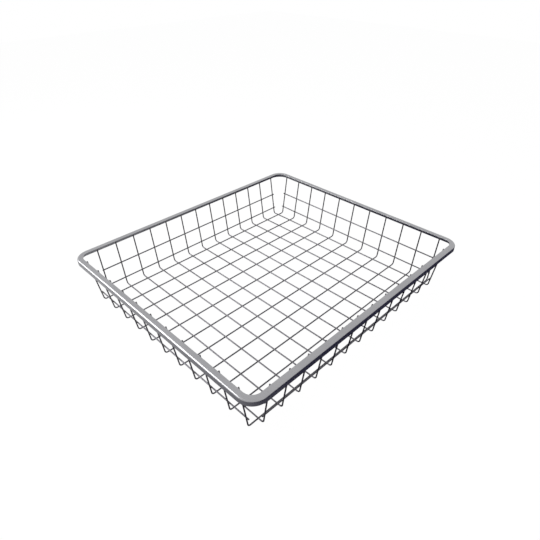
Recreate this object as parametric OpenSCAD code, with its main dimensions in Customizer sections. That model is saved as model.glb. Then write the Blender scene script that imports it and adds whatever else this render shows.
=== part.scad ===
// Welded wire basket for a locker or wardrobe.
// Two layers of round wire cross on the floor and turn up as the four walls,
// two straight rails stiffen each wall, and a folded steel angle closes the top.
// X runs across the basket, Y runs from front to back, Z is up.
// The origin is under the middle of the floor, on the underside of the lowest wires.

/* [Wire mesh] */
// Diameter of every wire, mm
wire_d = 2.2; // [2:0.1:2.6]
// How far two crossing wires sink into each other where they are welded, mm
weld_bite = 0.22; // [0.15:0.01:0.25]
// Spacing of the lengthwise wires across the floor, mm
pitch_x = 37.5; // [36:0.5:38]
// Spacing of the crosswise wires along the floor, mm
pitch_y = 34.9; // [33:0.1:35]
// How far the two outermost lengthwise wires stand in from their full pitch, mm
outer_wire_inset = 1.5; // [0:0.1:4]
// Centreline radius of the bend between floor and wall, mm
floor_bend_r = 5; // [4:0.5:6]

/* [Walls] */
// Half distance between the left and right walls, where their line meets the floor, mm
side_foot_x = 196.6; // [196:0.1:197.2]
// Half distance between the front and back walls, where their line meets the floor, mm
end_foot_y = 226.4; // [225.8:0.1:227]
// Outward lean of all four walls, degrees. These values have a sine and cosine
// that six digits hold, so that uprights and bends meet without a gap.
wall_lean = 8.3019; // [7.9131, 8.0795, 8.3019, 8.4786]
// Height of the lower rails above the underside, mm
lower_rail_z = 17.1; // [12:0.1:26]
// Height of the upper rails above the underside, mm
upper_rail_z = 47.8; // [36:0.1:64]
// How far a rail's end stands past the centre of the last upright, mm
rail_overhang = 2.3; // [1.5:0.1:4]

/* [Rim] */
// Outside width of the rim, left to right, mm
rim_x = 438.6; // [438.4:0.2:440]
// Outside depth of the rim, front to back, mm
rim_y = 499; // [498.8:0.2:500.4]
// Height of the rim's top above the underside, mm
rim_top_z = 87.2; // [86.6:0.1:87.8]
// Width of the flat top leg of the angle, mm
rim_leg_w = 9.6; // [9.4:0.1:10]
// Height of the outer leg of the angle, mm
rim_leg_h = 9.3; // [8:0.1:12]
// Thickness of the folded strip, mm
rim_t = 2; // [1.5:0.1:2.4]
// Outside radius of the fold along the rim's edge, mm
rim_fold_r = 2.5; // [2.5:0.1:3]
// Outside radius of the rim's four corners in plan, mm
rim_corner_r = 25; // [20:1:30]
// How far the cut ends of the uprights stop below the rim's top, mm
upright_end_gap = 0.2; // [0.1:0.1:0.6]

/* [Hidden] */
$fn = 48;

// Numbers of wires in the two layers
lengthwise_count = 11;
crosswise_count = 13;

wire_r = wire_d / 2;
// Distance between the centrelines of two wires that are welded across each other
layer_step = wire_d - weld_bite;
// The lengthwise wires lie lowest, and the crosswise wires lie on them
lengthwise_z = wire_r;
crosswise_z = wire_r + layer_step;
// Height at which the uprights are cut off
upright_end_z = rim_top_z - upright_end_gap;

// Middle of the last lengthwise and crosswise wires
last_x = (lengthwise_count - 1) / 2 * pitch_x - outer_wire_inset;
last_y = (crosswise_count - 1) / 2 * pitch_y;

// Place of a lengthwise wire across the floor, counted from the left
function lengthwise_x(n) =
    let (steps = n - (lengthwise_count - 1) / 2)
    abs(steps) == (lengthwise_count - 1) / 2 ? sign(steps) * last_x : steps * pitch_x;

// Place of a crosswise wire along the floor, counted from the front
function crosswise_y(n) = (n - (crosswise_count - 1) / 2) * pitch_y;

// A number as the tree that OpenSCAD hands on holds it, with six digits
function six_digits(v) = let (unit = pow(10, floor(log(v)) - 5)) round(v / unit) * unit;

// What six digits leave out of the walls' lean. A second turn by it
// brings each upright exactly onto the end of its bend.
lean_rest = wall_lean - atan2(six_digits(sin(wall_lean)), six_digits(cos(wall_lean)));

// Distance of a wall's centre plane from the middle at height z
function wall_at(foot, foot_z, z) = foot + (z - foot_z) * tan(wall_lean);

// Half of a bent wire in the XZ plane: floor, bend and upright, on the +X side
module bent_wire_half(foot, floor_z) {
    turn = 90 - wall_lean;
    // Distance from the corner of the two centrelines back to where the bend starts
    setback = floor_bend_r * tan(turn / 2);
    flat_end = foot - setback;
    rise = (upright_end_z - floor_z) / cos(wall_lean) - setback;
    translate([0, 0, floor_z])
        rotate([0, 90, 0])
            cylinder(d = wire_d, h = flat_end);
    // The bend and the upright are both placed from the centre of the bend
    translate([flat_end, 0, floor_z + floor_bend_r]) {
        rotate([90, 0, 0])
            rotate([0, 0, -90])
                rotate_extrude(angle = turn)
                    translate([floor_bend_r, 0])
                        circle(d = wire_d);
        rotate([0, wall_lean, 0])
            rotate([0, lean_rest, 0])
                translate([floor_bend_r, 0, 0])
                    cylinder(d = wire_d, h = rise);
    }
}

// One wire bent up at both ends, lying along X
module bent_wire(foot, floor_z) {
    bent_wire_half(foot, floor_z);
    mirror([1, 0, 0]) bent_wire_half(foot, floor_z);
}

// Wire along Y that forms one upright of the front wall and one of the back wall
module lengthwise_wire(n) {
    color("#9d9ca3")
        translate([lengthwise_x(n), 0, 0])
            rotate([0, 0, 90])
                bent_wire(end_foot_y, lengthwise_z);
}

// Wire along X that forms one upright of the left wall and one of the right wall
module crosswise_wire(n) {
    color("#a9a9ab")
        translate([0, crosswise_y(n), 0])
            bent_wire(side_foot_x, crosswise_z);
}

// Straight rail welded across the inside of a wall's uprights
module wall_rail(foot, foot_z, z, half_length) {
    inward = layer_step / cos(wall_lean);
    color("#8f8e96")
        translate([wall_at(foot, foot_z, z) - inward, 0, z])
            rotate([90, 0, 0])
                cylinder(d = wire_d, h = 2 * half_length, center = true);
}

// Rail along Y on the right wall, or on the left wall when side is -1
module side_rail(side, z) {
    mirror([side < 0 ? 1 : 0, 0, 0])
        wall_rail(side_foot_x, crosswise_z, z, last_y + rail_overhang);
}

// Rail along X on the back wall, or on the front wall when side is -1
module end_rail(side, z) {
    rotate([0, 0, side * 90])
        wall_rail(end_foot_y, lengthwise_z, z, last_x + rail_overhang);
}

// Section of the folded angle, with its outer face on the Y axis and its top at 0
module rim_section() {
    inner_fold_r = rim_fold_r - rim_t;
    // Flat top leg
    translate([-rim_leg_w, -rim_t])
        square([rim_leg_w - rim_fold_r, rim_t]);
    // Outer leg
    translate([-rim_t, -rim_leg_h])
        square([rim_t, rim_leg_h - rim_fold_r]);
    // Fold between them
    translate([-rim_fold_r, -rim_fold_r])
        intersection() {
            difference() {
                circle(r = rim_fold_r);
                circle(r = inner_fold_r);
            }
            square(rim_fold_r);
        }
}

// Straight side of the rim, centred, with its outer face out along +X
module rim_side(out, length) {
    translate([out, length / 2, rim_top_z])
        rotate([90, 0, 0])
            linear_extrude(height = length)
                rim_section();
}

// Corner of the rim, a quarter turn about its own centre
module rim_corner() {
    translate([rim_x / 2 - rim_corner_r, rim_y / 2 - rim_corner_r, rim_top_z])
        rotate_extrude(angle = 90)
            translate([rim_corner_r, 0])
                rim_section();
}

// Folded steel angle bent round the mouth of the basket
module rim() {
    color("#9c9ca0") {
        for (turn = [0, 180]) {
            rotate([0, 0, turn]) rim_side(rim_x / 2, rim_y - 2 * rim_corner_r);
            rotate([0, 0, turn + 90]) rim_side(rim_y / 2, rim_x - 2 * rim_corner_r);
        }
        for (flip_x = [0, 1], flip_y = [0, 1])
            mirror([flip_x, 0, 0]) mirror([0, flip_y, 0]) rim_corner();
    }
}

rim();
lengthwise_wire(0);  // lengthwise_wire_01
lengthwise_wire(1);  // lengthwise_wire_02
lengthwise_wire(2);  // lengthwise_wire_03
lengthwise_wire(3);  // lengthwise_wire_04
lengthwise_wire(4);  // lengthwise_wire_05
lengthwise_wire(5);  // lengthwise_wire_06
lengthwise_wire(6);  // lengthwise_wire_07
lengthwise_wire(7);  // lengthwise_wire_08
lengthwise_wire(8);  // lengthwise_wire_09
lengthwise_wire(9);  // lengthwise_wire_10
lengthwise_wire(10);  // lengthwise_wire_11
crosswise_wire(0);  // crosswise_wire_01
crosswise_wire(1);  // crosswise_wire_02
crosswise_wire(2);  // crosswise_wire_03
crosswise_wire(3);  // crosswise_wire_04
crosswise_wire(4);  // crosswise_wire_05
crosswise_wire(5);  // crosswise_wire_06
crosswise_wire(6);  // crosswise_wire_07
crosswise_wire(7);  // crosswise_wire_08
crosswise_wire(8);  // crosswise_wire_09
crosswise_wire(9);  // crosswise_wire_10
crosswise_wire(10);  // crosswise_wire_11
crosswise_wire(11);  // crosswise_wire_12
crosswise_wire(12);  // crosswise_wire_13
end_rail(-1, lower_rail_z);  // front_lower_rail
end_rail(-1, upper_rail_z);  // front_upper_rail
end_rail(1, lower_rail_z);  // back_lower_rail
end_rail(1, upper_rail_z);  // back_upper_rail
side_rail(-1, lower_rail_z);  // left_lower_rail
side_rail(-1, upper_rail_z);  // left_upper_rail
side_rail(1, lower_rail_z);  // right_lower_rail
side_rail(1, upper_rail_z);  // right_upper_rail
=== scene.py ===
"""Dresses a welded wire locker basket in bright plated steel: drawn wire, weld metal and a folded rim.

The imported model's boxes give the place of every wire and rail and the outside sizes. The lean and the feet
of the walls, the bends and the rim's section are written here as in the model's source. Each wire, rail and
the rim is made again as a smooth surface, and the weld metal that joins them is added.
"""

import logging
import math
from dataclasses import dataclass, field
from enum import Enum

import bpy
import numpy as np
from mathutils import Matrix, Vector
from numpy.typing import NDArray


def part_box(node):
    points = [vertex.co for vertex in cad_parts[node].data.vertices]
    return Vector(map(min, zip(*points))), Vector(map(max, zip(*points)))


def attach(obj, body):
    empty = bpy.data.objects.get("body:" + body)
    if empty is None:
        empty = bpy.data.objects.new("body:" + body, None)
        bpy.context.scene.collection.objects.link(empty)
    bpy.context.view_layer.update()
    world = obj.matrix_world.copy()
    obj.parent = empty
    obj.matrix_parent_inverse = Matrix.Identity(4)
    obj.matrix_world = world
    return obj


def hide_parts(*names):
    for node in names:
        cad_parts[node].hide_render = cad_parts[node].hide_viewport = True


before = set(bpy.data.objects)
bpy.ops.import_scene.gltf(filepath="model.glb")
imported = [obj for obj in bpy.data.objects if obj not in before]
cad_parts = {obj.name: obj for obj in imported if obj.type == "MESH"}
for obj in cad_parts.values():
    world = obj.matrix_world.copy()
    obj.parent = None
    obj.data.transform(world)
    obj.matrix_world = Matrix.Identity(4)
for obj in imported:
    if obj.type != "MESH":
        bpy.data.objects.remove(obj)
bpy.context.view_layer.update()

LOG = logging.getLogger("wire_basket")
MM = 0.001
# Nearly all values of a noise texture lie between these
NOISE_LOW, NOISE_HIGH = 0.3, 0.7
Array = NDArray[np.float64]
Numbers = NDArray[np.int64]


class Run(Enum):
    """Direction in which a floor wire lies."""

    LENGTHWISE = "lengthwise"
    CROSSWISE = "crosswise"

    @property
    def across(self) -> int:
        """Axis along which the wires of this layer are spaced, 0 for X and 1 for Y."""
        return 0 if self is Run.LENGTHWISE else 1


class Side(Enum):
    """A wall of the basket, as its outward direction."""

    FRONT = (0.0, -1.0)
    BACK = (0.0, 1.0)
    LEFT = (-1.0, 0.0)
    RIGHT = (1.0, 0.0)

    @property
    def run(self) -> Run:
        """Layer whose wires turn up as this wall's uprights."""
        return Run.LENGTHWISE if self in (Side.FRONT, Side.BACK) else Run.CROSSWISE

    def rails(self) -> list[str]:
        """Name the nodes of this wall's rails, the lower one first."""
        return [f"{self.name.lower()}_{level}_rail" for level in ("lower", "upper")]


def linear_colour(hex_code: str) -> tuple[float, float, float, float]:
    """Turn an sRGB hex colour into the linear values that shaders take.

    Args:
        hex_code: Six hex digits after a hash sign.

    Returns:
        Linear red, green, blue and an alpha of 1.
    """
    channels = [int(hex_code[i : i + 2], 16) / 255 for i in (1, 3, 5)]
    linear = [c / 12.92 if c <= 0.04045 else ((c + 0.055) / 1.055) ** 2.4 for c in channels]
    return linear[0], linear[1], linear[2], 1.0


def blank_material(name: str) -> tuple[bpy.types.Material, bpy.types.NodeTree]:
    """Make a material whose node tree is empty.

    Args:
        name: Name of the material.

    Returns:
        The material and its node tree.
    """
    material = bpy.data.materials.new(name)
    material.use_nodes = True
    material.node_tree.nodes.clear()
    return material, material.node_tree


def add_node(
    tree: bpy.types.NodeTree,
    kind: str,
    settings: dict[str, object] | None = None,
    inputs: dict[str | int, object] | None = None,
) -> bpy.types.Node:
    """Add one shader node with its settings, values and links.

    Args:
        tree: Node tree that takes the node.
        kind: Type name of the node.
        settings: Attributes of the node and their values.
        inputs: Socket names or numbers, each with a value or with the output that feeds it.

    Returns:
        The new node.
    """
    node = tree.nodes.new(kind)
    for name, value in (settings or {}).items():
        setattr(node, name, value)
    for name, value in (inputs or {}).items():
        if isinstance(value, bpy.types.NodeSocket):
            tree.links.new(value, node.inputs[name])
        else:
            node.inputs[name].default_value = value
    return node


@dataclass(frozen=True)
class DrawnWireFinish:
    """Bright plate over drawn mild steel wire.

    Drawing through a die leaves faint lines along the wire, and the plate over them is bright but not a
    mirror: the eye sees soft streaks of light, with slightly darker, warmer metal beside each weld.

    Attributes:
        name: Name of the material.
        plate: Colour of the plate.
        heated: Colour of the plate beside a weld.
        roughness: Middle of the plate's roughness.
        roughness_spread: How far the roughness goes to either side of it.
        cloud_mm: Size of the slow changes.
        grain_mm: Size of the plating grain.
        grain_height_mm: Height of the plating grain.
        grain_strength: Share of that height that the bump shows.
    """

    name: str = "plated_drawn_wire"
    # Darker than such plate is, because a wire one or two pixels wide on white renders too pale
    plate: str = "#58575C"
    heated: str = "#4B4947"
    roughness: float = 0.22
    roughness_spread: float = 0.08
    cloud_mm: float = 22.0
    # Real plating grain is near 0.05 mm. It is drawn coarser, so that it shows.
    grain_mm: float = 0.5
    grain_height_mm: float = 0.012
    grain_strength: float = 0.35

    def material(self) -> bpy.types.Material:
        """Build the material.

        Returns:
            A metal whose plate clouds slowly, with fine grain, and darker where weld_heat is high.
        """
        finish, tree = blank_material(self.name)
        place = add_node(tree, "ShaderNodeTexCoord").outputs["Object"]
        cloud = add_node(tree, "ShaderNodeTexNoise", inputs={
            "Vector": place, "Scale": 1 / (self.cloud_mm * MM), "Detail": 3.0, "Roughness": 0.6})
        grain = add_node(tree, "ShaderNodeTexNoise", inputs={
            "Vector": place, "Scale": 1 / (self.grain_mm * MM), "Detail": 2.0, "Roughness": 0.5})
        heat = add_node(tree, "ShaderNodeAttribute", {"attribute_name": "weld_heat"})
        tarnish = add_node(tree, "ShaderNodeMath", {"operation": "MULTIPLY"}, {
            0: heat.outputs["Fac"], 1: cloud.outputs["Fac"]})
        colour = add_node(tree, "ShaderNodeMix", {"data_type": "RGBA"}, {
            "Factor": tarnish.outputs[0], 6: linear_colour(self.plate), 7: linear_colour(self.heated)})
        dullness = add_node(tree, "ShaderNodeMapRange", inputs={
            "Value": cloud.outputs["Fac"], "From Min": NOISE_LOW, "From Max": NOISE_HIGH,
            "To Min": self.roughness - self.roughness_spread,
            "To Max": self.roughness + self.roughness_spread})
        bump = add_node(tree, "ShaderNodeBump", inputs={
            "Strength": self.grain_strength, "Distance": self.grain_height_mm * MM,
            "Height": grain.outputs["Fac"]})
        shader = add_node(tree, "ShaderNodeBsdfPrincipled", inputs={
            "Base Color": colour.outputs[2], "Metallic": 1.0, "Roughness": dullness.outputs["Result"],
            "Normal": bump.outputs["Normal"]})
        add_node(tree, "ShaderNodeOutputMaterial", inputs={"Surface": shader.outputs[0]})
        return finish


@dataclass(frozen=True)
class FoldedStripFinish:
    """Bright zinc plate over a cold-rolled steel strip, folded lengthways to an angle.

    Rolling leaves very fine scratches along the strip, so light spreads across it more than along it: the
    eye sees an even satin grey on the flats and one clean bright line along the fold.

    Attributes:
        name: Name of the material.
        plate: Colour of the plate.
        worn: Paler colour that wear brings in here and there.
        worn_from: Value of the slow changes at which wear begins.
        worn_to: Value at which it is full.
        worn_share: Share of the worn colour where wear is full.
        roughness: Middle of the plate's roughness.
        roughness_spread: How far the roughness goes to either side of it.
        cloud_mm: Size of the slow changes.
        scratch_length_mm: Length of a rolling scratch.
        scratch_width_mm: Width of a rolling scratch.
        scratch_depth_mm: Depth of a rolling scratch.
        scratch_strength: Share of that depth that the bump shows.
    """

    name: str = "plated_folded_strip"
    plate: str = "#9D9DA0"
    worn: str = "#ABABAD"
    worn_from: float = 0.35
    worn_to: float = 0.75
    worn_share: float = 0.5
    roughness: float = 0.3
    roughness_spread: float = 0.06
    cloud_mm: float = 45.0
    # Rolling scratches are some 20 mm long. Real ones are 0.05 mm apart, drawn coarser so that they show.
    scratch_length_mm: float = 20.0
    scratch_width_mm: float = 0.35
    scratch_depth_mm: float = 0.006
    scratch_strength: float = 0.3

    def material(self) -> bpy.types.Material:
        """Build the material.

        Returns:
            A metal with scratches along the piece's own UV map, in metres, whose u runs along the strip.
        """
        finish, tree = blank_material(self.name)
        coordinates = add_node(tree, "ShaderNodeTexCoord")
        cloud = add_node(tree, "ShaderNodeTexNoise", inputs={
            "Vector": coordinates.outputs["Object"], "Scale": 1 / (self.cloud_mm * MM), "Detail": 3.0})
        stretch = add_node(tree, "ShaderNodeMapping", inputs={
            "Vector": coordinates.outputs["UV"],
            "Scale": (1 / (self.scratch_length_mm * MM), 1 / (self.scratch_width_mm * MM), 1.0)})
        scratch = add_node(tree, "ShaderNodeTexNoise", inputs={
            "Vector": stretch.outputs["Vector"], "Scale": 1.0, "Detail": 2.0})
        wear = add_node(tree, "ShaderNodeMapRange", inputs={
            "Value": cloud.outputs["Fac"], "From Min": self.worn_from, "From Max": self.worn_to,
            "To Min": 0.0, "To Max": self.worn_share})
        colour = add_node(tree, "ShaderNodeMix", {"data_type": "RGBA"}, {
            "Factor": wear.outputs["Result"], 6: linear_colour(self.plate), 7: linear_colour(self.worn)})
        dullness = add_node(tree, "ShaderNodeMapRange", inputs={
            "Value": scratch.outputs["Fac"], "From Min": NOISE_LOW, "From Max": NOISE_HIGH,
            "To Min": self.roughness - self.roughness_spread,
            "To Max": self.roughness + self.roughness_spread})
        bump = add_node(tree, "ShaderNodeBump", inputs={
            "Strength": self.scratch_strength, "Distance": self.scratch_depth_mm * MM,
            "Height": scratch.outputs["Fac"]})
        shader = add_node(tree, "ShaderNodeBsdfPrincipled", inputs={
            "Base Color": colour.outputs[2], "Metallic": 1.0, "Roughness": dullness.outputs["Result"],
            "Normal": bump.outputs["Normal"]})
        add_node(tree, "ShaderNodeOutputMaterial", inputs={"Surface": shader.outputs[0]})
        return finish


@dataclass(frozen=True)
class WeldMetalFinish:
    """Plated weld metal: a resistance weld squeezes out a small collar that the plate covers.

    The collar is duller than the wire, with a fine ripple.

    Attributes:
        name: Name of the material.
        plate: Colour of the plate.
        roughness: Roughness of the plate.
        ripple_mm: Size of the ripple.
        ripple_height_mm: Height of the ripple.
        ripple_strength: Share of that height that the bump shows.
    """

    name: str = "plated_weld_metal"
    plate: str = "#8E8D90"
    roughness: float = 0.42
    ripple_mm: float = 0.35
    ripple_height_mm: float = 0.03
    ripple_strength: float = 0.5

    def material(self) -> bpy.types.Material:
        """Build the material.

        Returns:
            A dull metal with a fine ripple.
        """
        finish, tree = blank_material(self.name)
        place = add_node(tree, "ShaderNodeTexCoord").outputs["Object"]
        ripple = add_node(tree, "ShaderNodeTexNoise", inputs={
            "Vector": place, "Scale": 1 / (self.ripple_mm * MM), "Detail": 2.0})
        bump = add_node(tree, "ShaderNodeBump", inputs={
            "Strength": self.ripple_strength, "Distance": self.ripple_height_mm * MM,
            "Height": ripple.outputs["Fac"]})
        shader = add_node(tree, "ShaderNodeBsdfPrincipled", inputs={
            "Base Color": linear_colour(self.plate), "Metallic": 1.0, "Roughness": self.roughness,
            "Normal": bump.outputs["Normal"]})
        add_node(tree, "ShaderNodeOutputMaterial", inputs={"Surface": shader.outputs[0]})
        return finish


@dataclass(frozen=True)
class Surface:
    """Vertices and faces of one piece.

    Attributes:
        points: Vertex places in metres.
        quads: Four vertex numbers a face.
        fans: Three vertex numbers a face, for end caps.
    """

    points: Array
    quads: Numbers
    fans: Numbers = field(default_factory=lambda: np.zeros((0, 3), dtype=np.int64))


def grid_quads(rings: int, columns: int, rings_close: bool) -> Numbers:
    """Number the quads of a grid whose rings close on themselves.

    A quad joins a vertex, the next in its ring, and the two beside them in the next ring.

    Args:
        rings: Number of rings.
        columns: Vertices in a ring.
        rings_close: Whether the last ring joins the first.

    Returns:
        One row of four vertex numbers for each quad.
    """
    ring = np.arange(rings if rings_close else rings - 1)[:, None]
    column = np.arange(columns)[None, :]
    here, after, beside = ring * columns, (ring + 1) % rings * columns, (column + 1) % columns
    corners = (here + column, here + beside, after + beside, after + column)
    return np.stack(np.broadcast_arrays(*corners), axis=-1).reshape(-1, 4)


def pole_fans(rings: int, columns: int) -> Numbers:
    """Number the triangles that join the first and the last ring of a grid to a pole each.

    The two poles are the two vertices that follow the grid's own.

    Args:
        rings: Number of rings.
        columns: Vertices in a ring.

    Returns:
        One row of three vertex numbers for each triangle.
    """
    column = np.arange(columns)
    beside = (column + 1) % columns
    first_pole = rings * columns
    last_ring = first_pole - columns
    return np.vstack([
        np.stack([np.full(columns, first_pole), beside, column], axis=1),
        np.stack([np.full(columns, first_pole + 1), last_ring + column, last_ring + beside], axis=1),
    ])


def round_wire(path: Array, plane_normal: Array, radius: float, sides: int, chamfer: float) -> Surface:
    """Sweep a circle along a path that lies in one plane, and close its two cut ends.

    Each ring is the path's point plus the radius times cos(a) of the in-plane normal and sin(a) of the
    plane's own normal. The first and last rings are drawn in by the chamfer, and a fan closes each.

    Args:
        path: Centreline points, from one cut end to the other.
        plane_normal: Unit normal of the plane that the path lies in.
        radius: Radius of the wire.
        sides: Vertices in a ring.
        chamfer: Width of the chamfer at the cut ends.

    Returns:
        The closed surface.
    """
    steps = np.diff(path, axis=0)
    steps /= np.linalg.norm(steps, axis=1, keepdims=True)
    tangents = np.vstack([steps[:1], steps[:-1] + steps[1:], steps[-1:]])
    tangents /= np.linalg.norm(tangents, axis=1, keepdims=True)
    ends = path[[0, -1]]
    inner = np.vstack([ends[:1] + steps[:1] * chamfer, path[1:-1], ends[1:] - steps[-1:] * chamfer])
    centres = np.vstack([ends[:1], inner, ends[1:]])
    along = np.vstack([tangents[:1], tangents, tangents[-1:]])
    radii = np.full(len(centres), radius)
    radii[[0, -1]] = radius - chamfer
    across = np.cross(plane_normal, along)
    angle = np.linspace(0, 2 * math.pi, sides, endpoint=False)[None, :, None]
    spokes = np.cos(angle) * across[:, None] + np.sin(angle) * plane_normal
    rings = centres[:, None] + radii[:, None, None] * spokes
    points = np.vstack([rings.reshape(-1, 3), ends])
    return Surface(points, grid_quads(len(centres), sides, False), pole_fans(len(centres), sides))


def new_piece(name: str, surface: Surface, finish: bpy.types.Material) -> bpy.types.Object:
    """Make a smooth-shaded object of a surface, with flat end caps.

    Args:
        name: Name of the piece.
        surface: Its vertices and faces.
        finish: Its material.

    Returns:
        The object, riding on the basket.
    """
    mesh = bpy.data.meshes.new(name)
    mesh.from_pydata(surface.points.tolist(), [], surface.quads.tolist() + surface.fans.tolist())
    smooth = np.arange(len(mesh.polygons)) < len(surface.quads)
    mesh.polygons.foreach_set("use_smooth", smooth)
    mesh.materials.append(finish)
    piece = bpy.data.objects.new(name, mesh)
    bpy.context.scene.collection.objects.link(piece)
    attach(piece, "root")
    LOG.info("%s: %d vertices, %d faces", name, len(mesh.vertices), len(mesh.polygons))
    return piece


def node_box(node: str) -> tuple[Array, Array]:
    """Give a node's lowest and highest corners in metres."""
    low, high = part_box(node)
    return np.array(low, dtype=float), np.array(high, dtype=float)


@dataclass
class BasketSizes:
    """Sizes that every sub-assembly shares, in metres and degrees.

    Attributes:
        wire_d: Diameter of the wire.
        rim_x: Outside width of the rim.
        rim_y: Outside depth of the rim.
        rim_top: Height of the rim's top.
        rim_leg_h: Height of the rim's outer leg.
        upright_gap: How far the uprights' cut ends stop below the rim's top.
        layer_step: Distance between the centrelines of two welded wires.
        lean: Outward lean of the walls.
        bend_r: Centreline radius between floor and wall.
    """

    wire_d: float
    rim_x: float
    rim_y: float
    rim_top: float
    rim_leg_h: float
    upright_gap: float = 0.2 * MM
    layer_step: float = 1.98 * MM
    lean: float = 8.3019
    bend_r: float = 5 * MM

    @classmethod
    def from_frame(cls) -> "BasketSizes":
        """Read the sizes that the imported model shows.

        Returns:
            The sizes, with the wire's diameter from a rail and the outside sizes from the rim.
        """
        rail_low, rail_high = node_box("front_lower_rail")
        rim_low, rim_high = node_box("rim")
        return cls(
            wire_d=rail_high[2] - rail_low[2],
            rim_x=rim_high[0] - rim_low[0],
            rim_y=rim_high[1] - rim_low[1],
            rim_top=rim_high[2],
            rim_leg_h=rim_high[2] - rim_low[2],
        )

    @property
    def upright_end(self) -> float:
        """Height at which the uprights are cut off."""
        return self.rim_top - self.upright_gap

    @property
    def slope(self) -> float:
        """Outward travel of a wall for each metre of height."""
        return math.tan(math.radians(self.lean))


@dataclass(frozen=True)
class WireDrawing:
    """The way every wire and rail is drawn: a round section, cut clean, with heat marks beside its welds.

    Attributes:
        radius: Radius of the wire.
        finish: Material of the wire.
        welds: Places of all welds.
        sides: Vertices round a wire.
        chamfer: Width of the burr taken off each cut end.
        heat_reach: Distance from a weld at which its heat has died away to about a third.
    """

    radius: float
    finish: bpy.types.Material
    welds: Array
    sides: int = 20
    chamfer: float = 0.2 * MM
    heat_reach: float = 3.0 * MM

    def draw(self, node: str, path: Array, plane_normal: Array) -> None:
        """Draw one wire and let it stand for its node.

        Args:
            node: The CAD node.
            path: Centreline points, from one cut end to the other.
            plane_normal: Unit normal of the plane that the path lies in.
        """
        surface = round_wire(path, plane_normal, self.radius, self.sides, self.chamfer)
        piece = new_piece(f"{node}_drawn", surface, self.finish)
        self.mark_heat(piece, surface.points)
        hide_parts(node)

    def mark_heat(self, piece: bpy.types.Object, points: Array) -> None:
        """Write how near each vertex lies to a weld, as the attribute weld_heat.

        The value is exp(-(distance / reach) squared) for the nearest weld, for all vertices at once. Only
        welds within two reaches of the piece's box are looked at.

        Args:
            piece: Object whose mesh takes the attribute.
            points: Its vertices.
        """
        margin = 2 * self.heat_reach
        low, high = points.min(axis=0) - margin, points.max(axis=0) + margin
        near = self.welds[np.all((self.welds > low) & (self.welds < high), axis=1)]
        distance = np.linalg.norm(points[:, None] - near[None], axis=2).min(axis=1)
        heat = np.exp(-((distance / self.heat_reach) ** 2)).astype(np.float32)
        layer = piece.data.attributes.new("weld_heat", "FLOAT", "POINT")
        layer.data.foreach_set("value", heat)


@dataclass
class FloorWires:
    """The two layers of bent wire that make the floor and the uprights of all four walls.

    Attributes:
        sizes: Sizes shared by the basket.
        lengthwise_count: Wires along Y, in the lower layer.
        crosswise_count: Wires along X, in the upper layer.
        end_foot: Half distance between the front and back walls at the floor.
        side_foot: Half distance between the left and right walls at the floor.
        floor_rings: Rings along half of the floor, close enough to carry the heat beside each weld.
        bend_rings: Rings along each bend.
        upright_rings: Rings along each upright, as close.
    """

    sizes: BasketSizes
    lengthwise_count: int = 11
    crosswise_count: int = 13
    end_foot: float = 226.4 * MM
    side_foot: float = 196.6 * MM
    floor_rings: int = 129
    bend_rings: int = 14
    upright_rings: int = 59

    def nodes(self, run: Run) -> list[str]:
        """Name the nodes of one layer in order."""
        count = self.lengthwise_count if run is Run.LENGTHWISE else self.crosswise_count
        return [f"{run.value}_wire_{number:02d}" for number in range(1, count + 1)]

    def foot(self, run: Run) -> float:
        """Give the half distance between the walls that a layer's wires form."""
        return self.end_foot if run is Run.LENGTHWISE else self.side_foot

    def floor_z(self, run: Run) -> float:
        """Give the height of a layer's centrelines on the floor."""
        radius = self.sizes.wire_d / 2
        return radius if run is Run.LENGTHWISE else radius + self.sizes.layer_step

    def offsets(self, run: Run) -> Array:
        """Give each wire's distance from the basket's middle, from the middle of its node's box."""
        boxes = np.array([node_box(node) for node in self.nodes(run)])
        return boxes[:, :, run.across].sum(axis=1) / 2

    def half_path(self, run: Run) -> Array:
        """Work out half of a wire's centreline in its own upright plane.

        The floor runs flat to where the bend starts, the bend is an arc of a quarter turn less the lean, and
        the upright goes on straight to the cut end. The corner of the two straight lines is the wall's foot,
        so the bend starts its radius times tan(half the turn) before it.

        Args:
            run: Layer of the wire.

        Returns:
            Rows of outward distance and height, from the middle of the floor to the cut end.
        """
        size = self.sizes
        turn = math.radians(90 - size.lean)
        setback = size.bend_r * math.tan(turn / 2)
        base = self.floor_z(run)
        start = self.foot(run) - setback
        out = np.linspace(0, start, self.floor_rings, endpoint=False)
        floor = np.stack([out, np.full(self.floor_rings, base)], axis=1)
        angle = np.linspace(0, turn, self.bend_rings)
        bend = np.array([start, base]) + size.bend_r * np.stack([np.sin(angle), 1 - np.cos(angle)], axis=1)
        end = np.array([self.foot(run) + (size.upright_end - base) * size.slope, size.upright_end])
        fraction = np.linspace(0, 1, self.upright_rings + 1)[1:, None]
        upright = bend[-1] + fraction * (end - bend[-1])
        return np.vstack([floor, bend, upright])

    def path(self, run: Run, offset: float) -> Array:
        """Place a wire's whole centreline.

        Args:
            run: Layer of the wire.
            offset: Distance of the wire from the basket's middle.

        Returns:
            Points from one cut end to the other.
        """
        half = self.half_path(run)
        out = np.concatenate([-half[:0:-1, 0], half[:, 0]])
        height = np.concatenate([half[:0:-1, 1], half[:, 1]])
        fixed = np.full(len(out), offset)
        return np.stack([fixed, out, height] if run is Run.LENGTHWISE else [out, fixed, height], axis=1)

    def build(self, drawing: WireDrawing) -> None:
        """Draw every wire. Its plane is square to the axis along which its layer is spaced.

        Args:
            drawing: The way a wire is drawn.
        """
        for run in Run:
            plane_normal = np.eye(3)[run.across]
            for node, offset in zip(self.nodes(run), self.offsets(run)):
                drawing.draw(node, self.path(run, offset), plane_normal)


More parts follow.
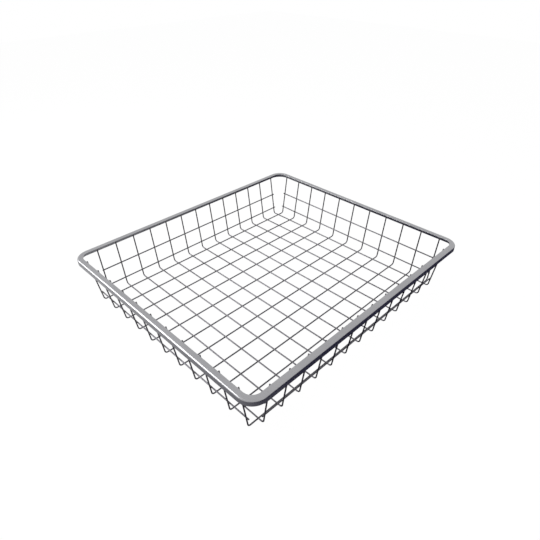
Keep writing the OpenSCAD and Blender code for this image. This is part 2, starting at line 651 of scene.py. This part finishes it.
@dataclass
class WallRails:
    """The eight straight rails welded across the inside of the uprights.

    Attributes:
        rings: Rings along a rail, close enough to carry the heat beside each weld.
    """

    rings: int = 200

    def build(self, drawing: WireDrawing) -> None:
        """Draw every rail along the middle of its node's box.

        Args:
            drawing: The way a wire is drawn.
        """
        upward = np.array([0.0, 0.0, 1.0])
        for side in Side:
            along = side.run.across
            for node in side.rails():
                low, high = node_box(node)
                path = np.tile((low + high) / 2, (self.rings, 1))
                path[:, along] = np.linspace(low[along], high[along], self.rings)
                drawing.draw(node, path, upward)


def arc(centre: tuple[float, float], radius: float, start: float, end: float, count: int) -> Array:
    """Place points along an arc: the centre plus the radius times cos and sin of evenly spaced angles.

    Args:
        centre: Centre of the arc, as outward distance and height.
        radius: Its radius.
        start: First angle in degrees, from outward round to up.
        end: Last angle in degrees.
        count: Number of points.

    Returns:
        Rows of outward distance and height.
    """
    angle = np.radians(np.linspace(start, end, count))
    return np.stack([centre[0] + radius * np.cos(angle), centre[1] + radius * np.sin(angle)], axis=1)


@dataclass
class FoldedRim:
    """The steel strip folded to an angle and bent round the mouth.

    Attributes:
        sizes: Sizes shared by the basket.
        leg_w: Width of the flat top leg.
        thickness: Thickness of the strip.
        fold_r: Outside radius of the fold.
        corner_r: Outside radius of the corners in plan.
        edge_r: Radius worn on the strip's cut edges.
        fold_steps: Points along the fold's outside.
        inside_steps: Points along the fold's inside.
        edge_steps: Points along each worn edge.
        corner_steps: Points along each corner.
    """

    sizes: BasketSizes
    leg_w: float = 9.6 * MM
    thickness: float = 2.0 * MM
    fold_r: float = 2.5 * MM
    corner_r: float = 25.0 * MM
    edge_r: float = 0.3 * MM
    fold_steps: int = 14
    inside_steps: int = 5
    edge_steps: int = 4
    corner_steps: int = 28

    def section(self) -> Array:
        """Outline of the folded angle, against the clock, with its outer face at 0 and its top at 0.

        Returns:
            Rows of outward distance and height, all of them at or below 0.
        """
        thick, fold, edge = self.thickness, self.fold_r, self.edge_r
        width, height = self.leg_w, self.sizes.rim_leg_h
        return np.vstack([
            arc((-edge, -height + edge), edge, -90, 0, self.edge_steps),
            arc((-fold, -fold), fold, 0, 90, self.fold_steps),
            arc((-width + edge, -edge), edge, 90, 180, self.edge_steps),
            arc((-width + edge, -thick + edge), edge, 180, 270, self.edge_steps),
            arc((-fold, -fold), fold - thick, 90, 0, self.inside_steps),
            arc((-thick + edge, -height + edge), edge, 180, 270, self.edge_steps),
        ])

    def path(self) -> tuple[Array, Array]:
        """Outer outline of the rim in plan, as a rectangle with round corners.

        Each corner's points are its arc's centre plus the corner's radius along the outward direction.

        Returns:
            The points, and the outward direction at each.
        """
        angle = np.radians(np.linspace(0, 90, self.corner_steps))
        quarters = angle[None] + np.radians([0, 90, 180, 270])[:, None]
        outward = np.stack([np.cos(quarters), np.sin(quarters)], axis=-1)
        half = np.array([self.sizes.rim_x / 2, self.sizes.rim_y / 2]) - self.corner_r
        centres = np.array([[1, 1], [-1, 1], [-1, -1], [1, -1]]) * half
        points = centres[:, None] + self.corner_r * outward
        return points.reshape(-1, 2), outward.reshape(-1, 2)

    def build(self, finish: bpy.types.Material) -> None:
        """Carry the section round the outline and let the piece stand for the rim.

        A vertex is the outline's point plus the section's outward distance along the outward direction, at
        the rim's top plus the section's height.

        Args:
            finish: Material of the strip.
        """
        outline, outward = self.path()
        section = self.section()
        plan = outline[:, None] + section[None, :, :1] * outward[:, None]
        height = np.broadcast_to(self.sizes.rim_top + section[None, :, 1:], (*plan.shape[:2], 1))
        points = np.concatenate([plan, height], axis=2).reshape(-1, 3)
        quads = grid_quads(len(outline), len(section), True)
        piece = new_piece("rim_folded", Surface(points, quads), finish)
        self.unroll(piece, outline, section)
        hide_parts("rim")

    def unroll(self, piece: bpy.types.Object, outline: Array, section: Array) -> None:
        """Give the strip a UV map in metres: u along the strip, v across it.

        Each face's four corners take the lengths travelled along the outline and the section, and the faces
        that close the two loops end at the full lengths.

        Args:
            piece: The rim.
            outline: Plan outline.
            section: Section outline.
        """
        def travel(points: Array) -> Array:
            """Length travelled to each point of a closed loop, and its whole length at the end."""
            steps = np.linalg.norm(np.roll(points, -1, axis=0) - points, axis=1)
            return np.concatenate([[0.0], np.cumsum(steps)])

        along, across = travel(outline), travel(section)
        row, column = np.meshgrid(np.arange(len(outline)), np.arange(len(section)), indexing="ij")
        u_here, u_next = along[row], along[row + 1]
        v_here, v_next = across[column], across[column + 1]
        corners_u = np.stack([u_here, u_here, u_next, u_next], axis=-1)
        corners_v = np.stack([v_here, v_next, v_next, v_here], axis=-1)
        flat = np.stack([corners_u, corners_v], axis=-1).reshape(-1).astype(np.float32)
        piece.data.uv_layers.new(name="strip").data.foreach_set("uv", flat)


@dataclass
class WeldMetal:
    """Small collars of weld metal where wires cross and where uprights meet the rim.

    Attributes:
        floor: The floor wires.
        rim: The rim.
        collar_r: Radius of a collar, in the plane where two wires touch.
        collar_half_t: Half thickness of a collar, square to that plane.
        bead_half_l: Half length of a bead along the rim's edge.
        bead_half_w: Half width of a bead across the edge.
        bead_half_h: Half height of a bead.
        bead_depth: Depth of a bead's middle below the rim's top, as a share of the strip's thickness.
        rings: Rings of one collar.
        sides: Vertices round one collar.
    """

    floor: FloorWires
    rim: FoldedRim
    collar_r: float = 1.15 * MM
    collar_half_t: float = 0.55 * MM
    bead_half_l: float = 1.75 * MM
    bead_half_w: float = 0.75 * MM
    bead_half_h: float = 0.85 * MM
    bead_depth: float = 0.55
    rings: int = 6
    sides: int = 10

    def on_floor(self) -> Array:
        """Places of the welds where the two floor layers cross, half way between their centrelines.

        Returns:
            One row for each weld.
        """
        x, y = np.meshgrid(self.floor.offsets(Run.LENGTHWISE), self.floor.offsets(Run.CROSSWISE))
        z = np.full(x.size, (self.floor.floor_z(Run.LENGTHWISE) + self.floor.floor_z(Run.CROSSWISE)) / 2)
        return np.stack([x.ravel(), y.ravel(), z], axis=1)

    def on_wall(self, side: Side) -> Array:
        """Places of the welds where a wall's rails cross its uprights.

        Each lies half a layer outward of the rail's centreline, square to the leaning wall.

        Args:
            side: The wall.

        Returns:
            One row for each weld.
        """
        lean = math.radians(self.floor.sizes.lean)
        out_x, out_y = side.value
        square_out = np.array([out_x * math.cos(lean), out_y * math.cos(lean), -math.sin(lean)])
        offsets = self.floor.offsets(side.run)
        rows = []
        for node in side.rails():
            low, high = node_box(node)
            spots = np.tile((low + high) / 2, (len(offsets), 1))
            spots[:, side.run.across] = offsets
            rows.append(spots + self.floor.sizes.layer_step / 2 * square_out)
        return np.vstack(rows)

    def on_rim(self, side: Side) -> Array:
        """Places of the welds where a wall's uprights meet the inner edge of the rim's top leg.

        Args:
            side: The wall.

        Returns:
            One row for each weld.
        """
        size = self.floor.sizes
        half = (size.rim_y if side.run is Run.LENGTHWISE else size.rim_x) / 2
        offsets = self.floor.offsets(side.run)
        spots = np.tile((half - self.rim.leg_w) * np.array([*side.value, 0.0]), (len(offsets), 1))
        spots[:, side.run.across] = offsets
        spots[:, 2] = size.rim_top - self.rim.thickness * self.bead_depth
        return spots

    def all_places(self) -> Array:
        """Places of every weld."""
        walls = [places(side) for places in (self.on_wall, self.on_rim) for side in Side]
        return np.vstack([self.on_floor(), *walls])

    def collars(self, places: Array, radii: Array) -> Surface:
        """Copy one small ellipsoid to each place.

        A ring's height is cos and its width sin of an angle that steps from pole to pole, times the three
        radii. The radii may differ from place to place.

        Args:
            places: Centres of the collars.
            radii: Half sizes along X, Y and Z, one row for each place.

        Returns:
            All collars as one surface.
        """
        polar = np.linspace(0, math.pi, self.rings + 2)[1:-1, None]
        turn = np.linspace(0, 2 * math.pi, self.sides, endpoint=False)[None, :]
        rings = (np.sin(polar) * np.cos(turn), np.sin(polar) * np.sin(turn), -np.cos(polar))
        ball = np.stack(np.broadcast_arrays(*rings), axis=-1).reshape(-1, 3)
        ball = np.vstack([ball, [0, 0, -1], [0, 0, 1]])
        points = (places[:, None] + ball[None] * radii[:, None]).reshape(-1, 3)
        shift = (np.arange(len(places)) * len(ball))[:, None, None]
        quads = grid_quads(self.rings, self.sides, False)[None] + shift
        fans = pole_fans(self.rings, self.sides)[None] + shift
        return Surface(points, quads.reshape(-1, 4), fans.reshape(-1, 3))

    def build(self, finish: bpy.types.Material) -> None:
        """Make the collars of the floor and of each wall, and the beads of the rim.

        Args:
            finish: Material of the weld metal.
        """
        wide, thin = self.collar_r, self.collar_half_t
        self.add("floor_weld_collars", [self.on_floor()], [[wide, wide, thin]], finish)
        for side in Side:
            radii = [thin if outward else wide for outward in (*side.value, 0.0)]
            self.add(f"{side.name.lower()}_weld_collars", [self.on_wall(side)], [radii], finish)
        places = [self.on_rim(side) for side in Side]
        length, width, height = self.bead_half_l, self.bead_half_w, self.bead_half_h
        along_x, along_y = [length, width, height], [width, length, height]
        radii = [along_x if side.run is Run.LENGTHWISE else along_y for side in Side]
        self.add("rim_weld_beads", places, radii, finish)

    def add(
        self, name: str, groups: list[Array], radii: list[list[float]], finish: bpy.types.Material
    ) -> None:
        """Make one piece of collars, smooth all over.

        Args:
            name: Name of the piece.
            groups: Centres of the collars, in groups of one shape.
            radii: Half sizes along X, Y and Z, for each group.
            finish: Material of the weld metal.
        """
        spread = np.vstack([np.tile(shape, (len(group), 1)) for group, shape in zip(groups, radii)])
        piece = new_piece(name, self.collars(np.vstack(groups), spread), finish)
        piece.data.shade_smooth()


@dataclass(frozen=True)
class Lamp:
    """A square soft lamp that faces the basket.

    Attributes:
        name: Name of the lamp.
        toward: Direction from the basket to the lamp.
        away: Distance of the lamp.
        width: Side of its square.
        watts: Its power.
        glints: Whether metal shows the lamp.
    """

    name: str
    toward: tuple[float, float, float]
    away: float
    width: float
    watts: float
    glints: bool

    def build(self) -> None:
        """Hang the lamp."""
        data = bpy.data.lights.new(self.name, "AREA")
        data.size = self.width
        data.energy = self.watts
        lamp = bpy.data.objects.new(self.name, data)
        direction = Vector(self.toward).normalized()
        lamp.location = direction * self.away
        lamp.rotation_euler = direction.to_track_quat("Z", "Y").to_euler()
        lamp.visible_glossy = self.glints
        bpy.context.scene.collection.objects.link(lamp)


def level_sheet(name: str, width: float, height: float, finish: bpy.types.Material) -> bpy.types.Object:
    """Lay a level square that belongs to the stage, centred under the basket.

    Args:
        name: Name of the sheet.
        width: Its side.
        height: Its height.
        finish: Its material.

    Returns:
        The sheet.
    """
    half = width / 2
    corners = [(-half, -half, height), (half, -half, height), (half, half, height), (-half, half, height)]
    mesh = bpy.data.meshes.new(name)
    mesh.from_pydata(corners, [], [(0, 1, 2, 3)])
    mesh.materials.append(finish)
    sheet = bpy.data.objects.new(name, mesh)
    bpy.context.scene.collection.objects.link(sheet)
    return sheet


@dataclass(frozen=True)
class Studio:
    """Pale floor, soft lamps and the camera. Lengths are in metres unless a name says otherwise.

    Attributes:
        look_at: Point that the camera faces.
        back: Direction from that point to the camera, here 45 degrees round and 35.26 degrees up.
        distance: Length of that line.
        near_clip: Distance from the camera at which things begin to show.
        sensor_mm: Side of the camera's sensor.
        frame_px: Side of the picture.
        focal_px: Focal length in pixels of the picture.
        principal_px: Where the camera's axis meets the picture.
        key_lamp: Lamp at the front left, whose glint runs along the front fold.
        top_lamp: Lamp above, which lights the floor alone, because metal doesn't show it.
        ambient: Strength of the surroundings' light on what is matt, where 1 is white.
        floor_width: Side of the floor.
        floor_colour: Colour of the floor under the lamps.
        floor_glow: Share of white that the floor shows by itself, which leaves a faint shadow.
        card_width: Side of the card that only metal sees, which glows with painted light and shade.
        card_height: Height of the card above the floor.
        card_painted_shade: The card's darkest colour, its painted shade.
        card_painted_light: The card's palest colour, its painted light.
        card_painted_shade_at: Distance from the middle, towards the front left, up to which the card is
            darkest.
        card_painted_light_at: Distance from which it is palest.
    """

    look_at: tuple[float, float, float] = (0.0, 0.0, 0.04396)
    back: tuple[float, float, float] = (0.57735, -0.57735, 0.57735)
    distance: float = 0.81365
    near_clip: float = 0.01
    sensor_mm: float = 36.0
    frame_px: float = 540.0
    focal_px: float = 462.29
    principal_px: tuple[float, float] = (269.834, 269.225)
    key_lamp: Lamp = Lamp("key_lamp", (-0.577, -0.577, 0.577), away=1.3, width=0.8, watts=14.0, glints=True)
    top_lamp: Lamp = Lamp("top_lamp", (-0.2, 0.1, 1.0), away=1.5, width=1.2, watts=10.0, glints=False)
    ambient: float = 0.8
    floor_width: float = 6.0
    floor_colour: str = "#F0F0F0"
    floor_glow: float = 0.97
    card_width: float = 3.0
    card_height: float = 0.0003
    # The card's two colours are painted shade and painted light: a painted reflection of a floor lit from
    # the front left.
    card_painted_shade: str = "#37364E"
    card_painted_light: str = "#D8D8DA"
    card_painted_shade_at: float = -0.1
    card_painted_light_at: float = 0.35

    def camera(self) -> None:
        """Place the camera where the photograph was taken from."""
        data = bpy.data.cameras.new("camera")
        data.sensor_width = self.sensor_mm
        data.lens = self.focal_px / self.frame_px * self.sensor_mm
        centre = (self.frame_px - 1) / 2
        data.shift_x = (centre - self.principal_px[0]) / self.frame_px
        data.shift_y = (self.principal_px[1] - centre) / self.frame_px
        data.clip_start = self.near_clip
        camera = bpy.data.objects.new("camera", data)
        back = Vector(self.back).normalized()
        right = Vector((0, 0, 1)).cross(back).normalized()
        up = back.cross(right)
        turn = Matrix((right, up, back)).transposed().to_4x4()
        camera.matrix_world = Matrix.Translation(Vector(self.look_at) + back * self.distance) @ turn
        bpy.context.scene.collection.objects.link(camera)
        bpy.context.scene.camera = camera

    def seen_rays(self, tree: bpy.types.NodeTree) -> bpy.types.NodeSocket:
        """Give 1 for rays from the camera and for those that metal or glass turns, else 0.

        Args:
            tree: Node tree that takes the nodes.

        Returns:
            The output socket.
        """
        path = add_node(tree, "ShaderNodeLightPath")
        glossy = add_node(tree, "ShaderNodeMath", {"operation": "MAXIMUM"}, {
            0: path.outputs["Is Camera Ray"], 1: path.outputs["Is Glossy Ray"]})
        return add_node(tree, "ShaderNodeMath", {"operation": "MAXIMUM"}, {
            0: glossy.outputs[0], 1: path.outputs["Is Transmission Ray"]}).outputs[0]

    def world(self) -> None:
        """Make the surroundings white to the eye and softly lit."""
        world = bpy.data.worlds.new("studio")
        bpy.context.scene.world = world
        world.use_nodes = True
        tree = world.node_tree
        tree.nodes.clear()
        strength = add_node(tree, "ShaderNodeMapRange", inputs={
            "Value": self.seen_rays(tree), "To Min": self.ambient, "To Max": 1.0})
        light = add_node(tree, "ShaderNodeBackground", inputs={
            "Color": (1, 1, 1, 1), "Strength": strength.outputs["Result"]})
        add_node(tree, "ShaderNodeOutputWorld", inputs={"Surface": light.outputs[0]})

    def floor(self) -> None:
        """Lay the pale floor, mostly white of its own so that only a faint shadow shows."""
        finish, tree = blank_material("pale_floor")
        matt = add_node(tree, "ShaderNodeBsdfDiffuse", inputs={"Color": linear_colour(self.floor_colour)})
        white = add_node(tree, "ShaderNodeEmission", inputs={"Strength": 1.0})
        share = add_node(tree, "ShaderNodeMath", {"operation": "MULTIPLY"}, {
            0: self.seen_rays(tree), 1: self.floor_glow})
        mix = add_node(tree, "ShaderNodeMixShader", inputs={
            0: share.outputs[0], 1: matt.outputs[0], 2: white.outputs[0]})
        add_node(tree, "ShaderNodeOutputMaterial", inputs={"Surface": mix.outputs[0]})
        level_sheet("floor", self.floor_width, 0.0, finish)

    def painted_reflection_card(self) -> None:
        """Lay a card just over the floor that only metal sees, glowing with a painted reflection of light
        and shade.

        Without it metal would show white below as well as above, and its lower sides would lose their dark
        edges. Its painted light is at the front left, towards the key lamp, and its painted shade at the
        back
        right: its shade follows the distance from the middle along the direction to the front left.
        """
        front_left = (-math.sqrt(0.5), -math.sqrt(0.5), 0)
        finish, tree = blank_material("painted_reflection_card")
        place = add_node(tree, "ShaderNodeTexCoord").outputs["Object"]
        toward_light = add_node(tree, "ShaderNodeVectorMath", {"operation": "DOT_PRODUCT"}, {
            0: place, 1: front_left})
        shade = add_node(tree, "ShaderNodeMapRange", inputs={
            "Value": toward_light.outputs["Value"],
            "From Min": self.card_painted_shade_at, "From Max": self.card_painted_light_at})
        colour = add_node(tree, "ShaderNodeMix", {"data_type": "RGBA"}, {
            "Factor": shade.outputs["Result"],
            6: linear_colour(self.card_painted_shade), 7: linear_colour(self.card_painted_light)})
        # The card glows with painted light and painted shade, though it is no lamp.
        glow = add_node(tree, "ShaderNodeEmission", inputs={"Color": colour.outputs[2], "Strength": 1.0})
        add_node(tree, "ShaderNodeOutputMaterial", inputs={"Surface": glow.outputs[0]})
        card = level_sheet("painted_reflection_card", self.card_width, self.card_height, finish)
        for ray in ("camera", "diffuse", "transmission", "volume_scatter", "shadow"):
            setattr(card, f"visible_{ray}", False)

    def build(self) -> None:
        """Set up the whole studio."""
        bpy.context.scene.view_settings.view_transform = "Standard"
        self.camera()
        self.key_lamp.build()
        self.top_lamp.build()
        self.world()
        self.floor()
        self.painted_reflection_card()


def main() -> None:
    """Build the studio and the basket."""
    logging.basicConfig(level=logging.INFO, format="%(name)s: %(message)s")
    Studio().build()
    sizes = BasketSizes.from_frame()
    floor, rim = FloorWires(sizes), FoldedRim(sizes)
    welds = WeldMetal(floor, rim)
    drawing = WireDrawing(sizes.wire_d / 2, DrawnWireFinish().material(), welds.all_places())
    floor.build(drawing)
    WallRails().build(drawing)
    rim.build(FoldedStripFinish().material())
    welds.build(WeldMetalFinish().material())


if __name__ == "__main__":
    main()
